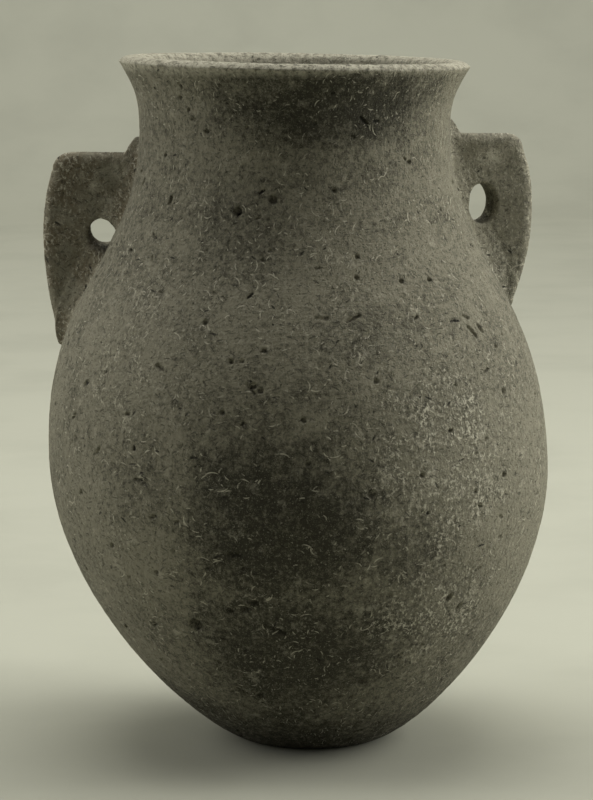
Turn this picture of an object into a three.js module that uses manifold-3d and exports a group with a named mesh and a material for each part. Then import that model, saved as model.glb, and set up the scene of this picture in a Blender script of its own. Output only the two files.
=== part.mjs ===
// A hand-built pottery jar with a small flat base, an egg-shaped body, a flaring neck
// and two upright lugs, each pierced for a cord.
// Sizes are in millimetres, z is up, and the origin is the centre of the base.
// The jar is made as a potter builds it: a base pad, coils lapped over one another with
// slanting joints, and lugs keyed into the shoulder and luted on with a fillet of clay.

import * as THREE from 'three';
import { mergeVertices } from 'three/addons/utils/BufferGeometryUtils.js';
import Module from 'manifold-3d';

// Outline of the outside, from the edge of the base up to the lip.
const BASE_RADIUS = 31.5;
const HEEL_RISE_DEG = 18; // slope of the underside where it leaves the base
const HEEL_PULL = 22.2;
const BELLY_RADIUS = 109.9;
const BELLY_HEIGHT = 125.3;
const BELLY_PULL_BELOW = 62.3;
const BELLY_PULL_ABOVE = 50;
const SHOULDER_RADIUS = 83.8;
const SHOULDER_RISE = 87.9; // above the belly
const SHOULDER_LEAN_DEG = 27.5; // slope of the shoulder, from upright
const SHOULDER_PULL_BELOW = 14.9;
const SHOULDER_PULL_ABOVE = 21.9;
const NECK_RADIUS = 67.5;
const NECK_RISE = 56.1; // above the shoulder
const NECK_PULL_BELOW = 20;
const NECK_PULL_ABOVE = 14.8;
const RIM_RADIUS = 76.3;
const RIM_RISE = 28.3; // above the neck
const RIM_FLARE_DEG = 31; // slope of the rim, from upright
const RIM_PULL = 10.9;
const LIP_CROWN = 3.4; // pull that rounds the lip over
const LIP_SETBACK = 6; // the inside of the lip starts this far below the rim's edge

// Wall thickness at four places.
const FLOOR_THICKNESS = 10;
const HEEL_THICKNESS = 10.5;
const BELLY_THICKNESS = 8.6;
const NECK_THICKNESS = 7.6;
const RIM_THICKNESS = 8.2;

// Coils: the wall is divided evenly along its outline, and each joint slants upwards
// from the outside to the inside.
const COIL_NAMES = [
  'heel_coil', 'lower_wall_coil_1', 'lower_wall_coil_2', 'belly_coil_1', 'belly_coil_2',
  'upper_wall_coil_1', 'upper_wall_coil_2', 'shoulder_coil', 'neck_coil', 'rim_coil',
];
const PAD_TURN = 15; // length of wall that is turned up from the base pad
const JOINT_LAP = 9; // how much further up the wall a joint ends on the inside
const GAP = 0.3; // clearance between a lug and the seat cut for it

// The jar is a little out of true, as hand-built jars are.
const LEAN = 7.2; // sideways drift of the axis
const LEAN_HEIGHT = 200; // height at which the axis is upright again
const RIM_TILT_DEG = 1;

// Lugs: heights are measured from the shoulder point, reaches from the wall beside the hole.
const SEAT_DEPTH = 3; // how deep a lug's tongue is keyed into the wall
const TONGUE_THICKNESS = 8;
const TONGUE_SHORTER = 14; // the tongue stops this far short of the lug at either end
const LUG_ROOT_THICKNESS = 14;
const LUG_TIP_THICKNESS = 11;
const LUG_EDGE_ROUNDING = 4.2;
const LUTING_FILLET = 7;
const LUTING_EDGE = 1; // thickness of the luting clay where it ends on the wall
const HOLE_FLARE = 1.12; // mouth of a hole over its waist

const LUGS = {
  lug_left: {
    azimuth_deg: 177, top_rise: 44.6, toe_drop: 40, reach: 31.9, corner_setback: 3.8,
    corner_core: 4.6, bow: 3.6, toe_reach: -0.6, bow_drop: 22, toe_pull: 23,
    hole_rise: 10.5, hole_reach: 5.4, hole_width: 12.2, hole_height: 13.8,
    hole_slope_deg: -15, hole_skew_deg: 0, color: 0x4b4633,
  },
  lug_right: {
    azimuth_deg: 10, top_rise: 54.7, toe_drop: 23, reach: 33.6, corner_setback: 4.6,
    corner_core: 2.2, bow: 4.1, toe_reach: -0.9, bow_drop: 20, toe_pull: 19.5,
    hole_rise: 24, hole_reach: 8.4, hole_width: 12.8, hole_height: 17.6,
    hole_slope_deg: 1.5, hole_skew_deg: 12, color: 0x5d5b4a,
  },
};

// Fineness of the facets.
const TURN_STEPS = 56;
const OUTER_STEPS = 3;
const INNER_STEPS = 3;
const LIP_STEPS = 5;
const PAD_STEPS = 3;
const OUTER_EDGE_STEPS = 8;
const CORNER_STEPS = 4;
const TOP_EDGE_STEPS = 3;
const LUG_ROUNDING_STEPS = 3;
const TONGUE_STEPS = 8;
const LUTING_STATIONS = 12;
const FILLET_STEPS = 3;
const HOLE_STEPS = 24;

const SHOULDER_HEIGHT = BELLY_HEIGHT + SHOULDER_RISE;
const NECK_HEIGHT = SHOULDER_HEIGHT + NECK_RISE;
const RIM_HEIGHT = NECK_HEIGHT + RIM_RISE;

const wasm = await Module();
wasm.setup();

const CORNER_SLACK = 0.448; // a Bezier curve with its pulls this far short is a round corner
const rad = THREE.MathUtils.degToRad;
const point = (r, z) => new THREE.Vector2(r, z);
const upright = (degrees) => point(-Math.sin(rad(degrees)), Math.cos(rad(degrees)));

// The outline of the outside as four Bezier curves joined smoothly.
function wallOutline() {
  const base = point(BASE_RADIUS, 0);
  const belly = point(BELLY_RADIUS, BELLY_HEIGHT);
  const shoulder = point(SHOULDER_RADIUS, SHOULDER_HEIGHT);
  const neck = point(NECK_RADIUS, NECK_HEIGHT);
  const rim = point(RIM_RADIUS, RIM_HEIGHT);
  const heelWay = point(Math.cos(rad(HEEL_RISE_DEG)), Math.sin(rad(HEEL_RISE_DEG)));
  const shoulderWay = upright(SHOULDER_LEAN_DEG);
  const rimWay = upright(-RIM_FLARE_DEG);
  const up = point(0, 1);
  const from = (start, way, pull) => start.clone().addScaledVector(way, pull);
  const outline = new THREE.CurvePath();
  const stretch = (...points) => outline.add(new THREE.CubicBezierCurve(...points));
  stretch(base, from(base, heelWay, HEEL_PULL), from(belly, up, -BELLY_PULL_BELOW), belly);
  stretch(belly, from(belly, up, BELLY_PULL_ABOVE),
    from(shoulder, shoulderWay, -SHOULDER_PULL_BELOW), shoulder);
  stretch(shoulder, from(shoulder, shoulderWay, SHOULDER_PULL_ABOVE),
    from(neck, up, -NECK_PULL_BELOW), neck);
  stretch(neck, from(neck, up, NECK_PULL_ABOVE), from(rim, rimWay, -RIM_PULL), rim);
  return outline;
}

const outline = wallOutline();
const [bellyAlong, , neckAlong, wallLength] = outline.getCurveLengths();

function outsideAt(along) {
  return outline.getPoint(along / wallLength);
}

function normalAt(along) {
  const tangent = outline.getTangent(along / wallLength);
  return point(tangent.y, -tangent.x);
}

function thicknessAt(along) {
  const { lerp } = THREE.MathUtils;
  if (along < bellyAlong) return lerp(HEEL_THICKNESS, BELLY_THICKNESS, along / bellyAlong);
  if (along < neckAlong) {
    return lerp(BELLY_THICKNESS, NECK_THICKNESS, (along - bellyAlong) / (neckAlong - bellyAlong));
  }
  return lerp(NECK_THICKNESS, RIM_THICKNESS, (along - neckAlong) / (wallLength - neckAlong));
}

// A point of the wall at a depth under its outside; a negative depth stands off it.
function wallPoint(along, depth) {
  return outsideAt(along).addScaledVector(normalAt(along), -depth);
}

function insideAt(along) {
  return wallPoint(along, thicknessAt(along));
}

// Evenly spaced values from start to end, both included.
function spread(start, end, steps) {
  return Array.from({ length: steps + 1 }, (_, i) => start + ((end - start) * i) / steps);
}

// Where the outline passes a height, as a length along it.
function alongAtHeight(height) {
  let low = 0;
  let high = wallLength;
  for (let i = 0; i < 40; i += 1) {
    const middle = (low + high) / 2;
    if (outsideAt(middle).y < height) low = middle;
    else high = middle;
  }
  return low;
}

// Shifts a geometry's points by the jar's lean and the tilt of its rim.
function outOfTrue(geometry) {
  const position = geometry.getAttribute('position');
  for (let i = 0; i < position.count; i += 1) {
    const x = position.getX(i);
    const z = position.getZ(i);
    const climb = Math.min(Math.max(z / LEAN_HEIGHT, 0), 1);
    position.setX(i, x - (LEAN * (4 * climb - climb ** 4)) / 3);
    position.setZ(i, z - Math.tan(rad(RIM_TILT_DEG)) * x * (z / RIM_HEIGHT) ** 2);
  }
  return geometry;
}

// Turns a closed profile, anticlockwise in radius and height, about the z axis.
// Two rings that share an edge of their profiles split its facets alike, so they meet
// face to face. A profile that starts and ends on the axis gets a single point there.
function turned(profile) {
  const position = [];
  const rings = profile.map(({ x: radius, y: height }) => {
    const first = position.length / 3;
    const count = radius < 1e-6 ? 1 : TURN_STEPS;
    for (let i = 0; i < count; i += 1) {
      const angle = (2 * Math.PI * i) / TURN_STEPS;
      position.push(radius * Math.cos(angle), radius * Math.sin(angle), height);
    }
    return (step) => first + (step % count);
  });
  const index = [];
  const facet = (a, b, c) => {
    if (a !== b && b !== c && c !== a) index.push(a, b, c);
  };
  profile.forEach((here, j) => {
    const k = (j + 1) % profile.length;
    const next = profile[k];
    if (here.x < 1e-6 && next.x < 1e-6) return;
    const rising = here.y < next.y || (here.y === next.y && here.x < next.x);
    for (let i = 0; i < TURN_STEPS; i += 1) {
      const [a, b] = [rings[j](i), rings[j](i + 1)];
      const [d, c] = [rings[k](i), rings[k](i + 1)];
      facet(a, b, rising ? c : d);
      facet(rising ? a : b, c, d);
    }
  });
  const geometry = new THREE.BufferGeometry();
  geometry.setAttribute('position', new THREE.Float32BufferAttribute(position, 3));
  geometry.setIndex(index);
  return outOfTrue(geometry);
}

// A closed geometry as a solid that can be cut and joined.
function solidOf(geometry) {
  const bare = geometry.clone();
  bare.deleteAttribute('normal');
  bare.deleteAttribute('uv');
  const merged = mergeVertices(bare, 1e-4);
  return new wasm.Manifold(new wasm.Mesh({
    numProp: 3,
    vertProperties: new Float32Array(merged.getAttribute('position').array),
    triVerts: new Uint32Array(merged.getIndex().array),
  }));
}

// A solid back as a geometry.
function geometryOf(solid) {
  const mesh = solid.getMesh();
  const geometry = new THREE.BufferGeometry();
  geometry.setAttribute('position', new THREE.BufferAttribute(mesh.vertProperties, 3));
  geometry.setIndex(new THREE.BufferAttribute(mesh.triVerts, 1));
  return geometry;
}

// Joints between coils, as lengths along the outside. The base pad is below the first.
const coilLength = (wallLength - PAD_TURN) / COIL_NAMES.length;
const jointAlong = (joint) => PAD_TURN + joint * coilLength;

// Every place along the outline where a ring of facet corners lies on the outside.
const outerStations = [
  ...spread(0, PAD_TURN, PAD_STEPS).slice(0, -1),
  ...spread(PAD_TURN, wallLength, COIL_NAMES.length * OUTER_STEPS),
];

function basePadProfile() {
  return [
    point(0, 0),
    ...spread(0, PAD_TURN, PAD_STEPS).map(outsideAt),
    ...spread(PAD_TURN + JOINT_LAP, 0, PAD_STEPS).map(insideAt),
    point(0, FLOOR_THICKNESS),
  ];
}

function coilProfile(coil) {
  const [bottom, top] = [jointAlong(coil), jointAlong(coil + 1)];
  return [
    ...spread(bottom, top, OUTER_STEPS).map(outsideAt),
    ...spread(top + JOINT_LAP, bottom + JOINT_LAP, INNER_STEPS).map(insideAt),
  ];
}

// The top coil ends in the lip, which is rounded over from the rim's edge to the inside.
function rimCoilProfile(coil) {
  const bottom = jointAlong(coil);
  const edge = outsideAt(wallLength);
  const inside = insideAt(wallLength - LIP_SETBACK);
  const lip = new THREE.CubicBezierCurve(
    edge,
    point(edge.x - LIP_CROWN / 2, edge.y + LIP_CROWN),
    point(inside.x + LIP_CROWN / 3, inside.y + LIP_CROWN * 1.3),
    inside,
  );
  return [
    ...spread(bottom, wallLength, OUTER_STEPS).map(outsideAt),
    ...lip.getPoints(LIP_STEPS).slice(1),
    ...spread(wallLength - LIP_SETBACK, bottom + JOINT_LAP, INNER_STEPS).slice(1).map(insideAt),
  ];
}

// Everything inside the jar's outside, sunk by a depth, as one solid for cutting.
function sunkenJar(depth) {
  const side = outerStations.map((along) => wallPoint(along, depth));
  return solidOf(turned([point(0, side[0].y), ...side, point(0, side.at(-1).y)]));
}

// Named places of a lug in its own plane, as radius and height.
function lugPlaces(lug) {
  const holeHeight = SHOULDER_HEIGHT + lug.hole_rise;
  const wallAtHole = outsideAt(alongAtHeight(holeHeight)).x;
  const edge = wallAtHole + lug.reach;
  const top = SHOULDER_HEIGHT + lug.top_rise;
  const toe = SHOULDER_HEIGHT - lug.toe_drop;
  const corner = point(edge - lug.corner_setback, top);
  const hole = point(wallAtHole + lug.hole_reach, holeHeight);
  return { edge, top, toe, corner, hole };
}

// How far the foot of a lug reaches along the wall, from its toe to the top of its fillet.
function lugFoot(lug) {
  const { top, toe } = lugPlaces(lug);
  return [alongAtHeight(toe), alongAtHeight(top + LUTING_FILLET)];
}

// The edge of a lug's plate, from its toe on the wall up the outer edge, round the corner,
// back along the top and up a fillet onto the neck, as points with their inward normals.
function lugEdge(lug) {
  const { edge, top, toe, corner } = lugPlaces(lug);
  const [toeAlong, crownAlong] = lugFoot(lug);
  const crown = outsideAt(crownAlong);
  const turn = LUG_EDGE_ROUNDING + lug.corner_core;
  const slack = turn * CORNER_SLACK;
  const cornerStart = point(corner.x, top - turn);
  const cornerEnd = point(corner.x - turn, top);
  const filletStart = point(crown.x + LUTING_FILLET, top);
  const stretches = [
    [new THREE.CubicBezierCurve(
      outsideAt(toeAlong),
      point(edge + lug.toe_reach, toe + lug.toe_pull),
      point(edge + lug.bow, cornerStart.y - lug.bow_drop),
      cornerStart,
    ), OUTER_EDGE_STEPS],
    [new THREE.CubicBezierCurve(
      cornerStart, point(corner.x, top - slack), point(corner.x - slack, top), cornerEnd,
    ), CORNER_STEPS],
    [new THREE.LineCurve(cornerEnd, filletStart), TOP_EDGE_STEPS],
    [new THREE.QuadraticBezierCurve(filletStart, point(crown.x, top), crown), CORNER_STEPS],
  ];
  const places = stretches.flatMap(([curve, steps]) => (
    spread(0, 1, steps).slice(0, -1).map((share) => [curve, share])));
  places.push([stretches.at(-1)[0], 1]);
  return places.map(([curve, share]) => {
    const tangent = curve.getTangent(share);
    return { outer: curve.getPoint(share), inward: point(-tangent.y, tangent.x) };
  });
}

// Brings a geometry from a lug's own frame, where x runs outwards through the plate,
// to its place round the jar.
function placedLug(geometry, lug) {
  return outOfTrue(geometry.rotateZ(rad(lug.azimuth_deg)));
}

// A lug's plate with rounded edges, thinner towards its outer edge. Each section runs from
// inside the wall out to the edge and back, and is as thick as the plate is there.
function lugPlate(lug) {
  const { edge, top } = lugPlaces(lug);
  const [toeAlong, crownAlong] = lugFoot(lug);
  const root = outsideAt(alongAtHeight(top)).x;
  const places = lugEdge(lug);
  const foot = spread(toeAlong, crownAlong, places.length - 1);
  const halfThickness = (radius) => THREE.MathUtils.mapLinear(
    radius, root, edge, LUG_ROOT_THICKNESS / 2, LUG_TIP_THICKNESS / 2);
  const sections = places.map(({ outer, inward }, i) => {
    const inner = wallPoint(foot[i], LUG_EDGE_ROUNDING + SEAT_DEPTH);
    const rounding = spread(0, Math.PI / 2, LUG_ROUNDING_STEPS).map((angle) => {
      const inset = LUG_EDGE_ROUNDING * (1 - Math.sin(angle));
      const place = outer.clone().addScaledVector(inward, inset);
      const flat = halfThickness(place.x) - LUG_EDGE_ROUNDING;
      return [place, angle < Math.PI / 2 ? flat + LUG_EDGE_ROUNDING * Math.cos(angle) : flat];
    });
    const side = [[inner, halfThickness(inner.x)], ...rounding];
    const corner = (place, offset) => new THREE.Vector3(place.x, offset, place.y);
    return [
      ...side.map(([place, offset]) => corner(place, -offset)),
      ...side.reverse().map(([place, offset]) => corner(place, offset)),
    ];
  });
  return solidOf(placedLug(lofted(sections), lug));
}

// The tongue at the root of a lug, which follows the wall, grown by a margin. It is deeper
// than its seat and reaches out into the plate, and is then cut to the depth it is seated.
function lugTongue(lug, margin) {
  const [toeAlong, crownAlong] = lugFoot(lug);
  const [bottom, top] = [toeAlong + TONGUE_SHORTER - margin, crownAlong - TONGUE_SHORTER + margin];
  const front = spread(bottom, top, TONGUE_STEPS).map((along) => wallPoint(along, -LUTING_EDGE));
  const back = spread(top, bottom, TONGUE_STEPS).map((along) => wallPoint(along, 2 * SEAT_DEPTH));
  const thickness = TONGUE_THICKNESS + 2 * margin;
  const geometry = new THREE.ExtrudeGeometry(new THREE.Shape([...front, ...back]), {
    depth: thickness,
    bevelEnabled: false,
  });
  geometry.translate(0, 0, -thickness / 2).rotateX(Math.PI / 2);
  return solidOf(placedLug(geometry, lug));
}

// The fillet of luting clay on both sides of a lug, which follows the wall's curve and
// narrows and fades out at both ends.
function lugLuting(lug) {
  const [toeAlong, crownAlong] = lugFoot(lug);
  const sections = spread(-1, 1, LUTING_STATIONS).map((place) => {
    const along = THREE.MathUtils.mapLinear(place, -1, 1, toeAlong, crownAlong);
    const fullness = Math.sqrt(Math.max(1 - place ** 4, 0.05));
    const fillet = LUTING_FILLET * fullness;
    const half = (LUG_ROOT_THICKNESS / 2 - GAP) * fullness;
    const side = spread(0, Math.PI / 2, FILLET_STEPS).map((angle) => [
      LUTING_EDGE + fillet * (1 - Math.cos(angle)),
      half + fillet * (1 - Math.sin(angle)),
    ]);
    const across = [[-SEAT_DEPTH, side[0][1]], ...side];
    const loop = [...across.map(([stand, offset]) => [stand, -offset]), ...across.reverse()];
    return loop.map(([stand, offset]) => {
      const { x: radius, y: height } = wallPoint(along, -stand);
      return new THREE.Vector3(Math.sqrt(radius ** 2 - offset ** 2), offset, height);
    });
  });
  return solidOf(placedLug(lofted(sections), lug));
}

// A closed skin over a row of sections that have the same number of points.
function lofted(sections) {
  const size = sections[0].length;
  const position = sections.flat().flatMap((corner) => corner.toArray());
  const index = [];
  for (let row = 0; row + 1 < sections.length; row += 1) {
    for (let i = 0; i < size; i += 1) {
      const [a, b] = [row * size + i, row * size + ((i + 1) % size)];
      index.push(a, b, b + size, a, b + size, a + size);
    }
  }
  const last = (sections.length - 1) * size;
  const cap = THREE.ShapeUtils.triangulateShape(
    sections[0].map((corner) => new THREE.Vector2(corner.x, corner.y)), []);
  cap.forEach(([a, b, c]) => {
    index.push(a, c, b);
    index.push(last + a, last + b, last + c);
  });
  const geometry = new THREE.BufferGeometry();
  geometry.setAttribute('position', new THREE.Float32BufferAttribute(position, 3));
  geometry.setIndex(index);
  return geometry;
}

// The hole through a lug: an oval pierced at a slant, a little wider at both mouths.
function lugHole(lug) {
  const { hole } = lugPlaces(lug);
  const reach = LUG_ROOT_THICKNESS / 2 + LUTING_FILLET;
  const waist = LUG_TIP_THICKNESS / 4;
  const profile = [
    point(0, -reach), point(HOLE_FLARE, -reach), point(1, -waist),
    point(1, waist), point(HOLE_FLARE, reach), point(0, reach),
  ];
  const geometry = new THREE.LatheGeometry(profile, HOLE_STEPS);
  geometry.scale(lug.hole_width / 2, 1, lug.hole_height / 2);
  geometry.rotateX(rad(lug.hole_slope_deg)).rotateZ(rad(lug.hole_skew_deg));
  geometry.translate(hole.x, 0, hole.y);
  return solidOf(placedLug(geometry, lug));
}

// A lug stands on the wall with a clearance, and its tongue is keyed into the wall.
function lugSolid(lug) {
  const standing = lugPlate(lug).add(lugLuting(lug)).subtract(sunkenJar(-GAP));
  const tongue = lugTongue(lug, 0).subtract(sunkenJar(SEAT_DEPTH - GAP));
  return standing.add(tongue).subtract(lugHole(lug));
}

// The seat cut in the wall for a lug's tongue, with a clearance all round.
function lugSeat(lug) {
  return lugTongue(lug, GAP).subtract(sunkenJar(SEAT_DEPTH));
}

const jar = new THREE.Group();

function addPiece(name, geometry, color) {
  const material = new THREE.MeshStandardMaterial({ color, roughness: 0.92, metalness: 0 });
  const mesh = new THREE.Mesh(geometry, material);
  mesh.name = name;
  jar.add(mesh);
}

const lugs = Object.entries(LUGS);
const seats = lugs.map(([, lug]) => lugSeat(lug));
const COIL_COLORS = [0x4a4838, 0x545243, 0x5b5947, 0x5f5d4b, 0x615f4d];

addPiece('base_pad', turned(basePadProfile()), 0x46443a);
COIL_NAMES.forEach((name, coil) => {
  const isRim = coil === COIL_NAMES.length - 1;
  const ring = solidOf(turned(isRim ? rimCoilProfile(coil) : coilProfile(coil)));
  const seated = seats.reduce((solid, seat) => solid.subtract(seat), ring);
  addPiece(name, geometryOf(seated), COIL_COLORS[coil % COIL_COLORS.length]);
});
lugs.forEach(([name, lug]) => addPiece(name, geometryOf(lugSolid(lug)), lug.color));

export default jar;
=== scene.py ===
"""Dresses the coil-built pottery jar: its wall, its pierced lugs, its fired clay and a stage."""

import math

import bpy
import numpy as np
from bpy.props import FloatProperty, FloatVectorProperty, IntProperty, PointerProperty
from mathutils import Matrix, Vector


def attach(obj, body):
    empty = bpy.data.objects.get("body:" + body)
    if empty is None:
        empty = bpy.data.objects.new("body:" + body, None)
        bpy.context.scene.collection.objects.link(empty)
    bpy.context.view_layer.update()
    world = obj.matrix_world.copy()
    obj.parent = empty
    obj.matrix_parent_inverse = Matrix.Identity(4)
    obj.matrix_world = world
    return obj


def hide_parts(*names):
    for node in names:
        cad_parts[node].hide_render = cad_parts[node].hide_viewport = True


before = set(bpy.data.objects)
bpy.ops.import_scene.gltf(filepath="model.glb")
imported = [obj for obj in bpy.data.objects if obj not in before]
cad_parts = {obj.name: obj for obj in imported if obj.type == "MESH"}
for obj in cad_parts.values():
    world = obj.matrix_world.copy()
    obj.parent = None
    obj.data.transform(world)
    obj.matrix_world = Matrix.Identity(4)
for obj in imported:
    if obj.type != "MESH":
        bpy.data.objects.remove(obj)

bl_info = {
    "name": "Coil-built pottery jar",
    "version": (1, 0, 0),
    "blender": (4, 5, 0),
    "location": "3D View > Sidebar > Jar",
    "description": "Builds a hand-made pottery jar with pierced lugs from its construction frame",
    "category": "Add Mesh",
}

TURN = 2 * math.pi

COILS = [
    "heel_coil", "lower_wall_coil_1", "lower_wall_coil_2", "belly_coil_1", "belly_coil_2",
    "upper_wall_coil_1", "upper_wall_coil_2", "shoulder_coil", "neck_coil", "rim_coil",
]

# How finely the outline is worked out, in steps for each of its four stretches.
BELOW_BELLY_STEPS = 400
BELOW_SHOULDER_STEPS = 300
BELOW_NECK_STEPS = 300
BELOW_RIM_STEPS = 200

# Rows of the skin where it isn't spaced by length.
UNDER_ROWS = 13
LIP_STEPS = 18
LIP_SPREAD = 0.012
BOTTOM_ROWS = 10
FLOOR_ROWS = 8
CENTRE_GAP = 0.02

# The clay's pattern is laid round the wall as if it had this radius all the way up.
PATTERN_RADIUS = 0.09
PATTERN_NAME = "clay"

# Height over which the pressed underside gives way to the hand-made surface.
PRESSED_BELOW = 0.0005
PRESSED_FADE = 0.004

# The lugs' skin, and how far their luting is brought down flush with the wall.
LUG_SKIN_STEP = 0.0005
LUG_SMOOTHING = 16
LUTING_CLEAR = 0.0008
LUTING_FADE = 0.0036
LUTING_SINK = 0.00135
LUG_PATTERN_PLACE = (0.3, 0.07)

# Scales of the noise in the hand-made surface, per metre.
UNEVEN_SCALE = 24.0
LUMPY_SCALE = 150.0
CRUMBLY_SCALE = 400.0
RAGGED_SCALE = 900.0
WIPED_SCALES = (70.0, 70.0, 1100.0)

# The scattered voids, in metres: how far they keep from the base and the rim, their widths and the
# spread of their extra length. Then their depth as a share of their width, and their slant.
VOID_MARGINS = (0.01, 0.008)
VOID_WIDTHS = (0.0011, 0.0017)
VOID_EXTRA_LENGTH = 0.0011
VOID_DEPTHS = (0.4, 0.9)
VOID_SLANT = 0.6

# All voids: how much wider they are cut, how far they narrow to their ends, and the distance
# between the points along them.
VOID_WIDENING = 1.3
VOID_TAPER = 0.35
MARK_STEP = 0.0007

# Dashes in the clay: cells to the metre, half length, half width and salt. The scratches also
# have a bend and a spread of directions.
CHAFF = (230.0, 0.0011, 0.00026, 3.1)
SHORT_CHAFF = (380.0, 0.0007, 0.00022, 11.7)
DEEP_CHAFF = (62.0, 0.0013, 0.00042, 23.9)
SCRATCHES = (120.0, 0.0022, 0.0003, 41.3, 150.0, TURN)
SHORT_SCRATCHES = (210.0, 0.0012, 0.00028, 57.9, 200.0, TURN)

# Height of the lip's worn band, from below the rim's edge to above it.
WORN_BAND = (-0.004, 0.0005)

# The stage: the paper's half width, its front and back edges, the radius of its sweep, the steps
# round it and how high it goes up.
PAPER_HALF_WIDTH = 5.0
PAPER_FRONT = -4.0
PAPER_BACK = 2.7
PAPER_SWEEP = 0.8
PAPER_STEPS = 24
PAPER_TOP = 4.0
ROOM_LIGHT = (1.0, 0.985, 0.93)
ROOM_STRENGTH = 0.1
JAR_MIDDLE = (0.0, 0.0, 0.16)

# The soft lights: name, place, target, width, height and power.
LIGHTS = [
    ("left_light", (-1.5, 0.3, 0.75), JAR_MIDDLE, 1.0, 1.6, 16),
    ("right_light", (1.5, 0.25, 0.8), JAR_MIDDLE, 1.0, 1.6, 31),
    ("top_light", (0.0, 0.3, 2.0), JAR_MIDDLE, 1.6, 1.6, 30),
    ("front_light", (0.3, -2.4, 1.5), JAR_MIDDLE, 1.4, 1.4, 2),
    ("back_light", (0.0, 2.1, 2.3), (0.0, 3.5, 0.3), 3.0, 0.8, 44),
]


def length(name, description, metres):
    """A property that holds a length in metres."""
    return FloatProperty(
        name=name, description=description, default=metres, unit="LENGTH", precision=4
    )


def angle(name, description, degrees):
    """A property that holds an angle, shown in degrees."""
    return FloatProperty(
        name=name, description=description, default=math.radians(degrees),
        unit="ROTATION", precision=3,
    )


def tint(name, description, colour):
    """A property that holds a colour."""
    return FloatVectorProperty(
        name=name, description=description, default=colour, subtype="COLOR", min=0, max=1, size=3
    )


class JarWall(bpy.types.PropertyGroup):
    """The outline of the jar's outside, its wall and how far it is out of true."""

    base_radius: length("Base radius", "Radius of the flat base", 0.0315)
    heel_rise: angle("Heel rise", "Slope of the underside where it leaves the base", 18)
    heel_pull: length("Heel pull", "Reach of the heel's curve", 0.0222)
    belly_radius: length("Belly radius", "Largest radius", 0.1099)
    belly_height: length("Belly height", "Height of the largest radius", 0.1253)
    belly_pull_below: length("Belly pull below", "Reach of the belly's curve downwards", 0.0623)
    belly_pull_above: length("Belly pull above", "Reach of the belly's curve upwards", 0.05)
    shoulder_radius: length("Shoulder radius", "Radius at the shoulder point", 0.0838)
    shoulder_rise: length("Shoulder rise", "Height of the shoulder point above the belly", 0.0879)
    shoulder_lean: angle("Shoulder lean", "Slope of the shoulder, from upright", 27.5)
    shoulder_pull_below: length(
        "Shoulder pull below", "Reach of the shoulder's curve downwards", 0.0149
    )
    shoulder_pull_above: length(
        "Shoulder pull above", "Reach of the shoulder's curve upwards", 0.0219
    )
    neck_radius: length("Neck radius", "Smallest radius of the neck", 0.0675)
    neck_rise: length("Neck rise", "Height of the neck above the shoulder point", 0.0561)
    neck_pull_below: length("Neck pull below", "Reach of the neck's curve downwards", 0.02)
    neck_pull_above: length("Neck pull above", "Reach of the neck's curve upwards", 0.0148)
    rim_radius: length("Rim radius", "Radius of the rim's outer edge", 0.0763)
    rim_rise: length("Rim rise", "Height of the rim's edge above the neck", 0.0283)
    rim_flare: angle("Rim flare", "Slope of the rim, from upright", 31)
    rim_pull: length("Rim pull", "Reach of the rim's curve", 0.0109)
    lip_crown: length("Lip crown", "How far the lip is rounded up over the rim's edge", 0.0034)
    lip_setback: length("Lip setback", "Where the lip's inside starts, below the edge", 0.006)
    floor_thickness: length("Floor thickness", "Thickness of the clay over the base", 0.01)
    heel_thickness: length("Heel thickness", "Wall at the heel", 0.0105)
    belly_thickness: length("Belly thickness", "Wall at the belly", 0.0086)
    neck_thickness: length("Neck thickness", "Wall at the neck", 0.0076)
    rim_thickness: length("Rim thickness", "Wall at the rim", 0.0082)
    pad_turn: length("Pad turn", "Wall turned up from the base pad", 0.015)
    joint_lap: length("Joint lap", "How much further up a joint ends on the inside", 0.009)
    lean: length("Lean", "Sideways drift of the axis", 0.0072)
    lean_height: length("Lean height", "Height at which the axis is upright again", 0.2)
    rim_tilt: angle("Rim tilt", "Tilt of the rim", 1)
    skin_step: length("Skin step", "Distance between the rows of the outside's mesh", 0.00062)
    inner_step: length("Inner step", "Distance between the rows of the inside's mesh", 0.0031)
    columns: IntProperty(name="Columns", description="Points round the jar", default=1080, min=64)


class JarClay(bpy.types.PropertyGroup):
    """The surface and colours of the fired clay."""

    undulation: length("Undulation", "Height of the hand-made unevenness", 0.00085)
    lumps: length("Lumps", "Height of the small lumps", 0.00034)
    crumbs: length("Crumbs", "Height of the crumbly grain", 0.00042)
    wiping: length("Wiping", "Height of the wiping marks", 0.0001)
    void_count: IntProperty(
        name="Voids", description="Number of scattered voids", default=300, min=1
    )
    seed: IntProperty(name="Seed", description="Seed of the scattered voids", default=7)
    pale: tint("Pale clay", "Colour of the paler clay", (0.215, 0.204, 0.15))
    # The dark colour also paints the shade under the lip, round the foot and inside the lug holes.
    dark: tint("Dark clay", "Colour of the smoke-darkened clay", (0.036, 0.034, 0.022))
    soot: tint("Soot", "Colour inside voids and fire clouds", (0.013, 0.012, 0.008))
    bloom: tint("Bloom", "Colour of chalky flecks and worn places", (0.5, 0.48, 0.38))
    russet: tint("Russet", "Colour of the browner lug", (0.115, 0.088, 0.047))


class JarStage(bpy.types.PropertyGroup):
    """The floor, lights and camera."""

    floor_colour: tint("Floor", "Colour of the floor and backdrop", (0.4, 0.405, 0.338))
    camera_distance: length("Camera distance", "From the jar's axis to the camera", 1.35)
    camera_height: length("Camera height", "Height of the camera", 0.3447)
    camera_aside: length("Camera aside", "Sideways place of the camera", -0.0064)
    aim_height: length("Aim height", "Height that the camera looks at", 0.15)
    lens: FloatProperty(name="Lens", description="Focal length in millimetres", default=139.1)


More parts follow.
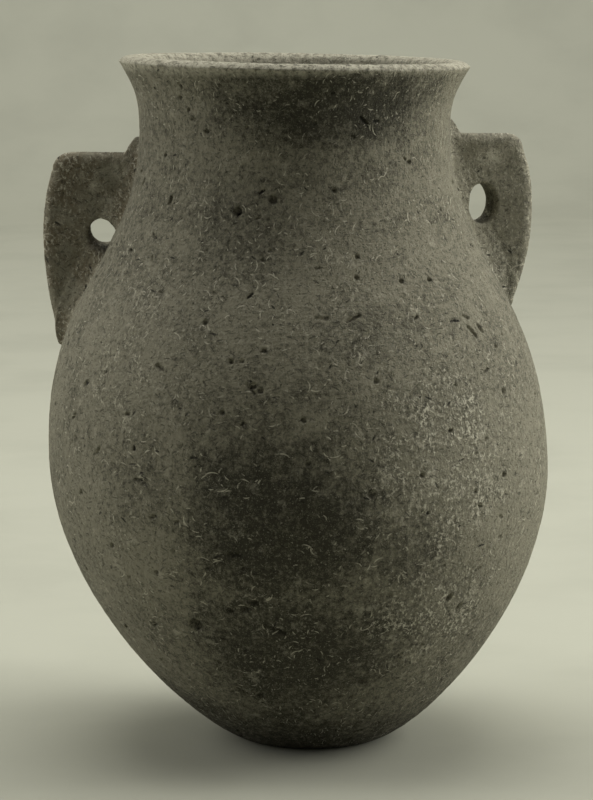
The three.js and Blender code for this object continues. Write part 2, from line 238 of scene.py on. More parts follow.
class Field:
    """A socket of a node tree that can be added, multiplied and so on to make further nodes."""

    def __init__(self, tree, socket):
        self.tree = tree
        self.socket = socket

    def node(self, kind, output=0, settings=None, **inputs):
        """Adds a node, sets its settings and inputs, and gives one of its outputs."""
        made = self.tree.nodes.new(kind)
        for key, value in (settings or {}).items():
            setattr(made, key, value)
        for key, value in inputs.items():
            slot = made.inputs[int(key[1:]) if key[0] == "_" else key]
            if isinstance(value, Field):
                self.tree.links.new(value.socket, slot)
            else:
                slot.default_value = value
        return Field(self.tree, made.outputs[output])

    def output(self, which):
        """Another output of the same node."""
        return Field(self.tree, self.socket.node.outputs[which])

    def into(self, node, name):
        """Links this to an input of a node."""
        self.tree.links.new(self.socket, node.inputs[name])

    def maths(self, operation, *others):
        """One Math node with this as its first input."""
        slots = {f"_{i + 1}": other for i, other in enumerate(others)}
        return self.node("ShaderNodeMath", settings={"operation": operation}, _0=self, **slots)

    def vector(self, operation, *others, output=0, **inputs):
        """One Vector Math node with this as its first input."""
        slots = {f"_{i + 1}": other for i, other in enumerate(others)}
        return self.node(
            "ShaderNodeVectorMath", output, {"operation": operation}, _0=self, **slots, **inputs
        )

    def __add__(self, other):
        return self.maths("ADD", other)

    def __radd__(self, other):
        return self.maths("ADD", other)

    def __sub__(self, other):
        return self.maths("SUBTRACT", other)

    def __rsub__(self, other):
        return self.maths("MULTIPLY", -1.0).maths("ADD", other)

    def __mul__(self, other):
        return self.maths("MULTIPLY", other)

    def __rmul__(self, other):
        return self.maths("MULTIPLY", other)

    def __truediv__(self, other):
        return self.maths("DIVIDE", other)

    def __abs__(self):
        return self.maths("ABSOLUTE")

    def rising(self, low, high):
        """0 below low, 1 above high, smooth between; with low over high it falls instead."""
        if low > high:
            return 1.0 - self.rising(high, low)
        return self.node(
            "ShaderNodeMapRange", settings={"interpolation_type": "SMOOTHSTEP"},
            Value=self, **{"From Min": low, "From Max": high},
        )

    def scaled(self, x, y, z):
        """This vector with each axis multiplied."""
        return self.vector("MULTIPLY", (x, y, z))

    def noise(self, scale, detail=3.0, roughness=0.55):
        """Noise at this vector."""
        return self.node(
            "ShaderNodeTexNoise", Vector=self, Scale=scale, Detail=detail, Roughness=roughness
        )

    def colour(self, rgb):
        """A plain colour."""
        plain = self.node("ShaderNodeRGB")
        plain.socket.default_value = (*rgb, 1.0)
        return plain

    def blended(self, rgb, share):
        """This colour mixed with a plain one."""
        return self.node(
            "ShaderNodeMix", 2, {"data_type": "RGBA"}, _0=share, _6=self, _7=(*rgb, 1.0)
        )


def object_place(tree):
    """Places in the object's own metres, as a material's first field."""
    return Field(tree, tree.nodes.new("ShaderNodeTexCoord").outputs["Object"])


def bezier(start, pull_out, pull_in, end, steps):
    """Points of a cubic Bezier curve."""
    t = np.linspace(0, 1, steps + 1)[:, None]
    parts = [(1 - t) ** 3, 3 * (1 - t) ** 2 * t, 3 * (1 - t) * t * t, t ** 3]
    corners = (start, pull_out, pull_in, end)
    return sum(part * np.array(corner, float) for part, corner in zip(parts, corners))


class Wall:
    """The jar's wall worked out from its sizes: outline, thickness, joints and lean."""

    def __init__(self, sizes):
        self.sizes = s = sizes
        up = np.array([0.0, 1.0])
        heel = np.array([math.cos(s.heel_rise), math.sin(s.heel_rise)])
        slope = np.array([-math.sin(s.shoulder_lean), math.cos(s.shoulder_lean)])
        flare = np.array([math.sin(s.rim_flare), math.cos(s.rim_flare)])
        base = np.array([s.base_radius, 0.0])
        belly = np.array([s.belly_radius, s.belly_height])
        shoulder = np.array([s.shoulder_radius, s.belly_height + s.shoulder_rise])
        neck = np.array([s.neck_radius, shoulder[1] + s.neck_rise])
        rim = np.array([s.rim_radius, neck[1] + s.rim_rise])
        self.rim_height = rim[1]
        stretches = [
            bezier(base, base + heel * s.heel_pull,
                   belly - up * s.belly_pull_below, belly, BELOW_BELLY_STEPS),
            bezier(belly, belly + up * s.belly_pull_above,
                   shoulder - slope * s.shoulder_pull_below, shoulder, BELOW_SHOULDER_STEPS),
            bezier(shoulder, shoulder + slope * s.shoulder_pull_above,
                   neck - up * s.neck_pull_below, neck, BELOW_NECK_STEPS),
            bezier(neck, neck + up * s.neck_pull_above,
                   rim - flare * s.rim_pull, rim, BELOW_RIM_STEPS),
        ]
        belly_step = BELOW_BELLY_STEPS
        neck_step = belly_step + BELOW_SHOULDER_STEPS + BELOW_NECK_STEPS
        self.points = np.vstack([stretches[0]] + [stretch[1:] for stretch in stretches[1:]])
        steps = np.hypot(*np.diff(self.points, axis=0).T)
        self.reach = np.concatenate([[0], np.cumsum(steps)])
        self.total = self.reach[-1]
        tangent = np.gradient(self.points, self.reach, axis=0)
        tangent /= np.linalg.norm(tangent, axis=1)[:, None]
        self.normals = np.column_stack([tangent[:, 1], -tangent[:, 0]])
        self.thickness_places = (
            [0, self.reach[belly_step], self.reach[neck_step], self.total],
            [s.heel_thickness, s.belly_thickness, s.neck_thickness, s.rim_thickness],
        )

    def _at(self, along, table):
        """Values of a table at lengths along the outline."""
        return np.column_stack([np.interp(along, self.reach, table[:, i]) for i in (0, 1)])

    def outside(self, along):
        """Points on the outside, as radius and height."""
        return self._at(along, self.points)

    def normal(self, along):
        """Outward directions, as radius and height."""
        found = self._at(along, self.normals)
        return found / np.linalg.norm(found, axis=1)[:, None]

    def inside(self, along):
        """Points on the inside, straight behind the outside."""
        thickness = np.interp(along, *self.thickness_places)
        return self.outside(along) - self.normal(along) * thickness[:, None]

    def radius_at(self, height):
        """Radius of the outside at a height."""
        return np.interp(height, self.points[:, 1], self.points[:, 0])

    def drift(self, z):
        """How far the axis has drifted sideways at a height."""
        climb = np.clip(z / self.sizes.lean_height, 0, 1)
        return self.sizes.lean * (4 * climb - climb ** 4) / 3

    def dip(self, x, z):
        """How far the tilt lowers a point."""
        return math.tan(self.sizes.rim_tilt) * x * (z / self.rim_height) ** 2

    def out_of_true(self, x, y, z):
        """Shifts points by the jar's lean and the tilt of its rim, as the construction does."""
        return np.stack([x - self.drift(z), y, z - self.dip(x, z)], -1)

    def stand_off(self, place):
        """How far points stand off the outside of the wall, and the outward direction there."""
        x = place[:, 0] + self.drift(place[:, 2])
        z = place[:, 2] + self.dip(x, place[:, 2])
        radius = np.hypot(x, place[:, 1])
        across = np.column_stack([
            np.interp(z, self.points[:, 1], table)
            for table in (self.points[:, 0], self.normals[:, 0], self.normals[:, 1])
        ])
        stand = (radius - across[:, 0]) * across[:, 1]
        outward = np.column_stack([
            across[:, 1] * x / radius, across[:, 1] * place[:, 1] / radius, across[:, 2],
        ])
        return stand, outward


class Skin:
    """The whole skin of the wall as one grid of rows, from under the base, up the outside,
    over the lip and down the inside to the floor, with the rows of each piece."""

    def __init__(self, wall, coils):
        s = wall.sizes
        step, inner_step = s.skin_step, s.inner_step
        coil_length = (wall.total - s.pad_turn) / coils
        coil_rows = round(coil_length / step)
        pad_rows = round(s.pad_turn / step)
        inner_rows = round(coil_length / inner_step)
        under = np.linspace(CENTRE_GAP, 1, UNDER_ROWS + 1)[:-1] * s.base_radius
        profile = [np.column_stack([under, np.zeros_like(under)])]
        ways = [np.tile([0.0, -1.0], (len(under), 1))]
        places = [under - s.base_radius]
        first = len(under)
        outer = np.concatenate([
            np.linspace(0, s.pad_turn, pad_rows, endpoint=False),
            np.linspace(s.pad_turn, wall.total, coils * coil_rows + 1),
        ])
        profile.append(wall.outside(outer))
        ways.append(wall.normal(outer))
        places.append(outer)
        edge = profile[1][-1]
        lip_end = np.array([wall.total - s.lip_setback])
        inside = wall.inside(lip_end)[0]
        lip = bezier(
            edge, (edge[0] - s.lip_crown / 2, edge[1] + s.lip_crown),
            (inside[0] + s.lip_crown / 3, inside[1] + s.lip_crown * 1.3), inside, LIP_STEPS,
        )
        across = np.gradient(lip, axis=0)
        across /= np.linalg.norm(across, axis=1)[:, None]
        profile.append(lip[1:-1])
        ways.append(np.column_stack([across[:, 1], -across[:, 0]])[1:-1])
        places.append(wall.total + np.linspace(0, LIP_SPREAD, len(lip))[1:-1])
        joints = [s.pad_turn + s.joint_lap + coil_length * i for i in range(coils)]
        top_rows = round((lip_end[0] - joints[-1]) / inner_step)
        inner = [np.linspace(lip_end[0], joints[-1], top_rows, endpoint=False)]
        for upper, lower in zip(joints[:0:-1], joints[-2::-1]):
            inner.append(np.linspace(upper, lower, inner_rows, endpoint=False))
        inner.append(np.linspace(joints[0], 0, BOTTOM_ROWS))
        inner = np.concatenate(inner)
        profile.append(wall.inside(inner))
        ways.append(-wall.normal(inner))
        places.append(wall.total + LIP_SPREAD + (lip_end[0] - inner))
        floor_edge = profile[-1][-1]
        floor = np.linspace(1, CENTRE_GAP, FLOOR_ROWS + 1)[1:]
        profile.append(np.column_stack([
            floor * floor_edge[0],
            s.floor_thickness + floor ** 2 * (floor_edge[1] - s.floor_thickness),
        ]))
        ways.append(np.tile([0.0, 1.0], (len(floor), 1)))
        places.append(places[-1][-1] + (1 - floor) * floor_edge[0])
        self.along = np.concatenate(places)
        self.rows = len(self.along)
        self.columns = s.columns
        self.outer_joint = [first + pad_rows + coil_rows * i for i in range(coils + 1)]
        lip_rows = len(lip) - 2
        self.inner_joint = {coils - 1: self.outer_joint[-1] + 1 + lip_rows + top_rows}
        for i in range(coils - 2, -1, -1):
            self.inner_joint[i] = self.inner_joint[i + 1] + inner_rows
        grid = self._turned(np.vstack(profile))
        self.grid = wall.out_of_true(grid[..., 0], grid[..., 1], grid[..., 2])
        self.outward = self._turned(np.vstack(ways))

    def _turned(self, profile):
        """A profile of radius and height turned into a grid that starts at the back."""
        angles = TURN * np.arange(self.columns) / self.columns + TURN / 4
        radius, height = profile[:, 0][:, None], profile[:, 1][:, None]
        return np.stack([
            radius * np.cos(angles),
            radius * np.sin(angles),
            np.broadcast_to(height, (self.rows, self.columns)),
        ], -1)

    def piece_rows(self, coil):
        """Rows of one coil as a closed loop: up the outside and down the inside."""
        start, end = self.outer_joint[coil], self.inner_joint[coil] + 1
        if coil + 1 not in self.inner_joint:
            return [*range(start, end)]
        outer = range(start, self.outer_joint[coil + 1] + 1)
        return [*outer, *range(self.inner_joint[coil + 1], end)]

    def pad_rows(self):
        """Rows of the base pad, from the middle of its underside to the middle of the floor."""
        return [*range(self.outer_joint[0] + 1), *range(self.inner_joint[0], self.rows)]


def mesh_from(name, vertices, quads, triangles=()):
    """A mesh from arrays of points, four-cornered and three-cornered faces."""
    triangles = np.array(triangles, np.int32).reshape(-1, 3)
    mesh = bpy.data.meshes.new(name)
    mesh.vertices.add(len(vertices))
    mesh.vertices.foreach_set("co", np.ascontiguousarray(vertices, np.float32).ravel())
    corners = np.concatenate([quads.ravel(), triangles.ravel()]).astype(np.int32)
    mesh.loops.add(len(corners))
    mesh.loops.foreach_set("vertex_index", corners)
    starts = np.concatenate([
        np.arange(len(quads)) * 4, len(quads) * 4 + np.arange(len(triangles)) * 3,
    ]).astype(np.int32)
    mesh.polygons.add(len(starts))
    mesh.polygons.foreach_set("loop_start", starts)
    mesh.update(calc_edges=True)
    mesh.polygons.foreach_set("use_smooth", np.ones(len(starts), bool))
    return mesh


def linked(name, data):
    """A mesh, light or camera as an object in the scene."""
    made = bpy.data.objects.new(name, data)
    bpy.context.scene.collection.objects.link(made)
    return made


def strip_quads(rows, columns, closed):
    """Faces between neighbouring rows of a tube, outwards where the rows climb."""
    lower = np.arange(rows)[:, None] * columns
    upper = np.roll(lower, -1, axis=0)
    if not closed:
        lower, upper = lower[:-1], upper[:-1]
    here = np.arange(columns)[None, :]
    there = (here + 1) % columns
    corners = [lower + here, lower + there, upper + there, upper + here]
    return np.stack(corners, -1).reshape(-1, 4)


def grid_normals(grid):
    """Normals at the points of a grid that is closed round its columns."""
    around = np.roll(grid, -1, axis=1) - np.roll(grid, 1, axis=1)
    climbing = np.gradient(grid, axis=0)
    normals = np.cross(around, climbing)
    return normals / np.maximum(np.linalg.norm(normals, axis=2), 1e-12)[..., None]


def store(mesh, name, kind, values):
    """Keeps a value for each point of a mesh."""
    attribute = mesh.attributes.new(name, kind, "POINT")
    key = "vector" if kind == "FLOAT_VECTOR" else "value"
    attribute.data.foreach_set(key, np.ascontiguousarray(values, np.float32).ravel())


def read(mesh, name):
    """A number kept for each point of a mesh."""
    values = np.empty(len(mesh.vertices), np.float32)
    mesh.attributes[name].data.foreach_get("value", values)
    return values


def points_of(mesh):
    """The places of a mesh's points."""
    place = np.empty(len(mesh.vertices) * 3, np.float32)
    mesh.vertices.foreach_get("co", place)
    return place.reshape(-1, 3).astype(float)


def evaluated(form):
    """The mesh that an object's modifiers give."""
    graph = bpy.context.evaluated_depsgraph_get()
    graph.update()
    return bpy.data.meshes.new_from_object(
        form.evaluated_get(graph), preserve_all_data_layers=True, depsgraph=graph
    )


# Larger pits seen on the front: azimuth from the front in degrees, height, length, width and
# depth in millimetres, and slant from level in degrees.
FRONT_PITS = [
    (-18.9, 238.8, 4.6, 3.4, 2.4, 60), (-7.2, 243.9, 4.0, 3.6, 2.4, 0),
    (13.5, 247.9, 2.4, 2.2, 1.4, 0), (-9.8, 170.1, 4.8, 3.0, 2.2, 10),
    (-7.7, 168.6, 2.6, 2.4, 1.6, 0), (-28.7, 66.8, 6.6, 6.0, 3.4, 80),
    (-14.2, 75.9, 4.4, 2.4, 1.8, 20), (-11.4, 79.4, 4.4, 2.2, 1.6, 10),
    (-18.0, 75.0, 4.0, 2.4, 1.8, -30), (17.5, 40.2, 5.6, 3.2, 2.4, 10),
    (10.3, 32.8, 3.4, 2.2, 1.4, 0), (15.3, 32.4, 3.4, 2.2, 1.4, 15),
    (-16.0, 33.4, 3.8, 2.2, 1.5, 0), (-2.8, 26.5, 3.4, 2.0, 1.3, 0),
    (32.9, 15.3, 3.2, 2.0, 1.3, 0), (-12.0, 17.3, 3.0, 2.0, 1.2, 0),
    (38.0, 77.8, 4.8, 2.0, 1.8, 55), (42.5, 72.5, 4.8, 2.0, 1.8, 55),
    (15.7, 126.5, 3.8, 2.8, 1.9, 0), (20.7, 81.6, 3.0, 2.2, 1.4, 30),
    (41.3, 210.7, 2.6, 2.2, 1.5, 0), (31.3, 210.8, 2.4, 2.2, 1.4, 0),
    (18.7, 172.0, 3.0, 2.2, 1.6, -40), (56.2, 162.8, 3.0, 2.6, 1.7, 0),
    (52.1, 128.3, 2.8, 2.6, 1.6, 0), (43.7, 117.1, 2.6, 2.4, 1.5, 0),
    (27.8, 132.9, 2.6, 2.2, 1.4, 0), (36.2, 150.1, 2.6, 2.2, 1.4, 0),
    (-16.4, 159.4, 2.8, 2.2, 1.5, 0), (-15.0, 179.7, 2.6, 2.2, 1.4, 0),
    (-7.3, 184.4, 2.8, 2.2, 1.5, 0), (18.9, 221.1, 2.6, 2.2, 1.4, 0),
    (-23.0, 194.5, 2.8, 2.2, 1.5, 45), (-14.6, 100.7, 7.0, 1.8, 1.4, 0),
    (-43.0, 63.9, 3.0, 2.2, 1.4, 0), (-35.6, 89.3, 2.8, 2.2, 1.4, 0),
    (-48.4, 98.1, 2.8, 2.2, 1.4, 0), (-57.3, 118.7, 2.6, 2.2, 1.4, 0),
    (50.3, 188.5, 7.4, 1.5, 1.3, -52), (53.8, 189.3, 5.2, 1.5, 1.2, -62),
]


def place_on_wall(wall, azimuth, height):
    """Where a height meets the outside at an azimuth from the front, all in true metres."""
    radius = wall.radius_at(height)
    return wall.out_of_true(radius * np.sin(azimuth), -radius * np.cos(azimuth), height)


def void_marks(wall, clay):
    """Points that the voids are sunk round: the front's larger pits and scattered chaff voids.
    Each void is a short row of points with its half width and depth."""
    rng = np.random.default_rng(clay.seed)
    rows = [
        (math.radians(azimuth), *(size / 1000 for size in sizes), math.radians(slant))
        for azimuth, *sizes, slant in FRONT_PITS
    ]
    for _ in range(clay.void_count):
        azimuth = rng.uniform(-math.pi, math.pi)
        along = rng.uniform(VOID_MARGINS[0], wall.total - VOID_MARGINS[1])
        height = float(np.interp(along, wall.reach, wall.points[:, 1]))
        width = rng.uniform(*VOID_WIDTHS)
        run = width + rng.gamma(2.0, VOID_EXTRA_LENGTH)
        depth = rng.uniform(*VOID_DEPTHS) * width
        rows.append((azimuth, height, run, width, depth, rng.normal(0, VOID_SLANT)))
    places, widths, depths = [], [], []
    for azimuth, height, run, width, depth, slant in rows:
        width *= VOID_WIDENING
        spare = max(run - width, 0)
        aside, climb = math.cos(slant) / wall.radius_at(height), math.sin(slant)
        for share in np.linspace(-0.5, 0.5, max(2, int(spare / MARK_STEP) + 1)):
            offset = share * spare
            places.append(place_on_wall(wall, azimuth + offset * aside, height + offset * climb))
            widths.append(width / 2 * (1 - VOID_TAPER * abs(share)))
            depths.append(depth)
    mesh = bpy.data.meshes.new("void_marks")
    mesh.from_pydata([tuple(place) for place in places], [], [])
    store(mesh, "half_width", "FLOAT", widths)
    store(mesh, "depth", "FLOAT", depths)
    made = linked("void_marks", mesh)
    made.hide_render = True
    return made


def weathering_tree(marks):
    """Geometry nodes that give a surface its unevenness, lumps, wiping marks and voids.
    Points move along their own outward direction, and each keeps how deep it lies in a void."""
    tree = bpy.data.node_groups.new("clay_surface", "GeometryNodeTree")
    face = tree.interface
    face.new_socket("Geometry", in_out="INPUT", socket_type="NodeSocketGeometry")
    for name in ("Undulation", "Lumps", "Crumbs", "Wiping"):
        face.new_socket(name, in_out="INPUT", socket_type="NodeSocketFloat")
    face.new_socket("Material", in_out="INPUT", socket_type="NodeSocketMaterial")
    face.new_socket("Geometry", in_out="OUTPUT", socket_type="NodeSocketGeometry")
    entry = tree.nodes.new("NodeGroupInput")
    source = {socket.name: Field(tree, socket) for socket in entry.outputs if socket.name}
    start = source["Geometry"]
    place = start.node("GeometryNodeInputPosition")
    info = start.node("GeometryNodeObjectInfo", output="Geometry", Object=marks)
    nearest = start.node("GeometryNodeSampleNearest", Geometry=info)

    def kept_value(name, kind="FLOAT"):
        """A value kept for each point of a mesh."""
        return start.node(
            "GeometryNodeInputNamedAttribute", settings={"data_type": kind}, Name=name
        )

    def of_mark(value, kind="FLOAT"):
        """What the nearest mark says."""
        return start.node(
            "GeometryNodeSampleIndex", settings={"data_type": kind},
            Geometry=info, Value=value, Index=nearest,
        )

    firmness = kept_value("firmness")
    uneven = place.noise(UNEVEN_SCALE, 2.0) - 0.5
    lumpy = place.noise(LUMPY_SCALE, 3.0) - 0.5
    crumbly = place.noise(CRUMBLY_SCALE, 2.0, 0.6) - 0.5
    wiped = place.scaled(*WIPED_SCALES).noise(1.0, 2.0) - 0.5
    away = place.vector("DISTANCE", of_mark(place, "FLOAT_VECTOR"), output="Value")
    ragged = away * (place.noise(RAGGED_SCALE, 2.0) * 0.7 + 0.65)
    inside = (ragged / of_mark(kept_value("half_width"))).rising(1.12, 0.5)
    lift = (
        uneven * source["Undulation"] + lumpy * source["Lumps"] + crumbly * source["Crumbs"]
        + wiped * source["Wiping"]
    ) * firmness - inside * of_mark(kept_value("depth")) * firmness
    offset = kept_value("outward", "FLOAT_VECTOR").vector("SCALE", Scale=lift)
    moved = start.node("GeometryNodeSetPosition", Geometry=start, Offset=offset)
    marked = start.node(
        "GeometryNodeStoreNamedAttribute", settings={"data_type": "FLOAT"},
        Geometry=moved, Name="void", Value=inside * firmness,
    )
    real = start.node("GeometryNodeRealizeInstances", Geometry=marked)
    done = start.node("GeometryNodeSetMaterial", Geometry=real, Material=source["Material"])
    done.into(tree.nodes.new("NodeGroupOutput"), "Geometry")
    return tree


def weathered(name, mesh, tree, clay, material):
    """A mesh with the clay's surface put on it."""
    form = linked(name, mesh)
    modifier = form.modifiers.new("Clay surface", "NODES")
    modifier.node_group = tree
    values = {
        "Undulation": clay.undulation, "Lumps": clay.lumps, "Crumbs": clay.crumbs,
        "Wiping": clay.wiping, "Material": material,
    }
    for item in tree.interface.items_tree:
        if item.in_out == "INPUT" and item.name in values:
            modifier[item.identifier] = values[item.name]
    form.update_tag()
    finished = evaluated(form)
    bpy.data.objects.remove(form)
    return finished


def dashes(spot, cells, run, width, salt, bend=60.0, spread=2.4):
    """Short bent dashes within a spread of directions, one to a cell at most, as 0 to 1."""
    cell = spot.node(
        "ShaderNodeTexVoronoi", "Position", {"voronoi_dimensions": "2D"},
        Vector=spot, Scale=cells, Randomness=1.0,
    )
    chance = spot.node(
        "ShaderNodeTexWhiteNoise", "Color", {"noise_dimensions": "3D"},
        Vector=cell.vector("ADD", (salt, salt, 0.0)),
    )
    heading = chance.node("ShaderNodeSeparateXYZ", _0=chance)
    size, kept = heading.output(1), heading.output(2)
    aimed = spot.node(
        "ShaderNodeVectorRotate", settings={"rotation_type": "Z_AXIS"},
        Vector=spot.vector("SUBTRACT", cell), Angle=(heading - 0.5) * spread,
    )
    lengthwise = aimed.node("ShaderNodeSeparateXYZ", _0=aimed)
    bent = lengthwise.output(1) + lengthwise * lengthwise * bend
    reach = (abs(lengthwise) / (size * run + run * 0.35)).maths("POWER", 2.0)
    side = (abs(bent) / width).maths("POWER", 2.0)
    return (reach + side).rising(1.25, 0.5) * kept.rising(0.3, 0.34)


def cloud(place, ragged, centre, size):
    """A cloud round a place with a soft and ragged edge, as 0 to 1."""
    stretched = place.vector("SUBTRACT", centre).scaled(*(1 / axis for axis in size))
    return (stretched.vector("LENGTH", output="Value") + ragged).rising(1.3, 0.2)


def clouded(field, place, ragged, clouds):
    """A field raised to the strength of each cloud where the cloud lies."""
    for centre, size, strength in clouds:
        field = field.maths("MAXIMUM", cloud(place, ragged, centre, size) * strength)
    return field


# Fire clouds, dark patches and painted shade: centre and size in metres, and strength.
FIRE_CLOUDS_AND_PAINTED_SHADE = [
    ((-0.012, -0.108, 0.113), (0.056, 0.05, 0.05), 1.12),
    # Painted shadow under the flaring lip, on the top of the neck.
    ((0.008, -0.07, 0.283), (0.066, 0.06, 0.026), 1.05),
    ((-0.008, -0.085, 0.058), (0.066, 0.06, 0.05), 1.05),
    ((0.04, -0.1, 0.1), (0.032, 0.04, 0.03), 0.6),
    ((-0.028, -0.07, 0.235), (0.034, 0.04, 0.034), 0.5),
    ((0.022, -0.09, 0.19), (0.04, 0.04, 0.022), 0.42),
    ((-0.062, -0.08, 0.13), (0.03, 0.04, 0.034), 0.45),
    ((0.05, 0.09, 0.13), (0.05, 0.04, 0.05), 0.8),
    ((-0.06, 0.07, 0.2), (0.045, 0.045, 0.04), 0.6),
    # Painted contact shadow, darkening the underside and the lowest part of the wall all round the
    # foot.
    ((0.0, 0.0, 0.01), (0.1, 0.1, 0.055), 1.1),
    # Painted shade inside the left and right lug holes.
    ((-0.0915, 0.0044, 0.2235), (0.0105, 0.0062, 0.0115), 1.1),
    ((0.0732, 0.0142, 0.2355), (0.0105, 0.0062, 0.013), 1.1),
]

# Where chalky flecks lie thickest: centre and size in metres, and strength.
CHALKY_PLACES = [
    ((0.062, -0.086, 0.135), (0.055, 0.06, 0.055), 1.0),
    ((0.055, -0.075, 0.072), (0.045, 0.06, 0.04), 1.0),
    ((-0.07, -0.07, 0.18), (0.04, 0.05, 0.05), 0.7),
    ((-0.065, -0.06, 0.07), (0.03, 0.05, 0.03), 0.6),
    ((-0.04, 0.09, 0.1), (0.05, 0.05, 0.06), 0.9),
]

# Chalk rubbed onto the lugs' faces: centre and size in metres, and strength.
CHALK_SMEARS = [
    ((0.079, 0.006, 0.2565), (0.0075, 0.02, 0.0055), 0.8),
    ((-0.0835, 0.002, 0.252), (0.0045, 0.02, 0.006), 0.6),
    ((-0.0945, 0.0, 0.2445), (0.003, 0.02, 0.003), 0.6),
]


def fired_clay(name, clay, stain=None, stain_share=0.0, worn_lip=0.0, chalk=0.0):
    """The jar's fired clay: mottled and smoke-clouded, with painted shade under the lip, round the
    foot and in the lug holes, and with chaff dashes, pale flecks and grain.
    """
    material = bpy.data.materials.new(name)
    material.use_nodes = True
    tree = material.node_tree
    tree.nodes.clear()
    place = object_place(tree)
    spot = place.node("ShaderNodeUVMap", settings={"uv_map": PATTERN_NAME})
    void = place.node("ShaderNodeAttribute", "Fac", {"attribute_name": "void"})
    height = place.node("ShaderNodeSeparateXYZ", 2, _0=place)

    ragged = (place.noise(22.0, 4.0) - 0.5) * 0.9
    broad = place.noise(13.0, 4.0, 0.6)
    mottled = place.noise(70.0, 5.0, 0.65)
    speckle = place.noise(380.0, 3.0, 0.75)
    grain = place.noise(950.0, 3.0, 0.7)
    wiped = spot.scaled(60.0, 900.0, 1.0).noise(1.0, 3.0, 0.6)
    scraped = spot.scaled(820.0, 130.0, 1.0).noise(1.0, 3.0, 0.6)
    low = height.rising(0.19, 0.12)
    streaks = wiped * (1.0 - low) + scraped * low
    chaff = dashes(spot, *CHAFF).maths("MAXIMUM", dashes(spot, *SHORT_CHAFF) * 0.8)
    deep_chaff = dashes(spot, *DEEP_CHAFF) * mottled.rising(0.42, 0.55)
    crumbs = spot.scaled(640.0, 400.0, 1.0).noise(1.0, 4.0, 0.8)
    scratches = dashes(spot, *SCRATCHES).maths("MAXIMUM", dashes(spot, *SHORT_SCRATCHES))
    scratches = scratches * mottled.rising(0.45, 0.56)

    chalkiness = (broad.rising(0.62, 0.35) * 0.35).maths("MAXIMUM", chalk)
    chalkiness = clouded(chalkiness, place, ragged, CHALKY_PLACES)
    # The darkness holds the fire clouds and also the painted shade under the lip, round the foot
    # and inside the lug holes.
    darkness = clouded(broad.rising(0.36, 0.7) * 0.45, place, ragged, FIRE_CLOUDS_AND_PAINTED_SHADE)
    darkness = (
        darkness + (mottled - 0.5) * 1.1 + (speckle - 0.5) * 2.3
        + (streaks - 0.5) * 0.5 + (grain - 0.5) * 1.6
    ).maths("MINIMUM", 1.15).maths("MAXIMUM", -0.35)
    flecks = (crumbs + (chalkiness - 0.5) * 0.1 + (mottled - 0.5) * 0.35).rising(0.56, 0.67)
    flecks = flecks * (chalkiness * 0.8 + 0.26)
    powder = place.noise(150.0, 6.0, 0.75).rising(0.55, 0.66)

    layers = [(clay.dark, darkness)]
    if stain is not None:
        layers.append((stain, mottled.rising(0.3, 0.7) * stain_share))
    layers += [
        (clay.bloom, flecks),
        (clay.bloom, scratches * 0.65),
        (clay.bloom, grain.rising(0.58, 0.7) * 0.4),
        (clay.bloom, powder * (chalkiness * 0.3 + 0.2)),
    ]
    if chalk:
        smear = speckle.rising(0.4, 0.52)
        layers += [
            (clay.bloom, cloud(place, ragged, centre, size) * smear * strength)
            for centre, size, strength in CHALK_SMEARS
        ]
    if worn_lip:
        band = height.rising(*(worn_lip + edge for edge in WORN_BAND))
        layers.append((clay.bloom, band * place.noise(320.0, 4.0, 0.7).rising(0.3, 0.6) * 0.75))
    layers += [
        (clay.soot, chaff * 0.5),
        (clay.soot, deep_chaff * 0.85),
        (clay.soot, void.rising(0.08, 0.5) * 0.97),
        (clay.soot, crumbs.rising(0.44, 0.32) * 0.75),
    ]
    body = place.colour(clay.pale)
    for colour, share in layers:
        body = body.blended(colour, share)

    relief = (
        speckle * 0.8 + grain * 0.45 + mottled * 0.4 + streaks * 0.3 + crumbs * 0.8
        - chaff * 0.45 - deep_chaff * 0.9 + flecks * 0.3
    )
    shader = place.node("ShaderNodeBsdfPrincipled", **{
        "Base Color": body,
        "Roughness": 0.74 + mottled * 0.24,
        "Specular IOR Level": 0.28,
        "Normal": place.node("ShaderNodeBump", Strength=0.9, Distance=0.001, Height=relief),
    })
    shader.into(tree.nodes.new("ShaderNodeOutputMaterial"), "Surface")
    return material


def settled(made, node):
    """Puts a finished piece under its body and hides the construction part that it stands for."""
    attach(made, "root")
    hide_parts(node)


def spread_sheet(mesh, across, along):
    """Lays the clay's pattern over a mesh from a place across and along for each face corner."""
    layer = mesh.uv_layers.new(name=PATTERN_NAME)
    layer.data.foreach_set("uv", np.column_stack([across, along]).astype(np.float32).ravel())


def wall_piece(node, skin, rows, grid, normals, void, material, closed):
    """One coil or the pad, cut from the finished skin along its joints."""
    columns = skin.columns
    quads = strip_quads(len(rows), columns, closed)
    vertices = grid[rows].reshape(-1, 3)
    facing = normals[rows].reshape(-1, 3)
    deep = void[rows].ravel()
    triangles = []
    if not closed:
        under, floor = len(vertices), len(vertices) + 1
        last = (len(rows) - 1) * columns
        for i in range(columns):
            after = (i + 1) % columns
            triangles.append((under, after, i))
            triangles.append((floor, last + i, last + after))
        middle = [vertices[:columns].mean(0), vertices[last:last + columns].mean(0)]
        vertices = np.vstack([vertices, middle])
        facing = np.vstack([facing, [[0, 0, -1], [0, 0, 1]]])
        deep = np.concatenate([deep, [0, 0]])
    mesh = mesh_from(node + "_skin", vertices, quads, triangles)
    store(mesh, "void", "FLOAT", deep)
    here = np.tile(np.arange(columns), len(quads) // columns)
    around = np.stack([here, here + 1, here + 1, here], -1).ravel() * TURN / columns
    along = skin.along[rows][quads.ravel() // columns]
    spare = np.zeros(3 * len(triangles))
    spread_sheet(
        mesh, np.concatenate([around * PATTERN_RADIUS, spare]), np.concatenate([along, spare])
    )
    mesh.materials.append(material)
    mesh.normals_split_custom_set_from_vertices([tuple(n) for n in facing])
    settled(linked(node + "_clay", mesh), node)


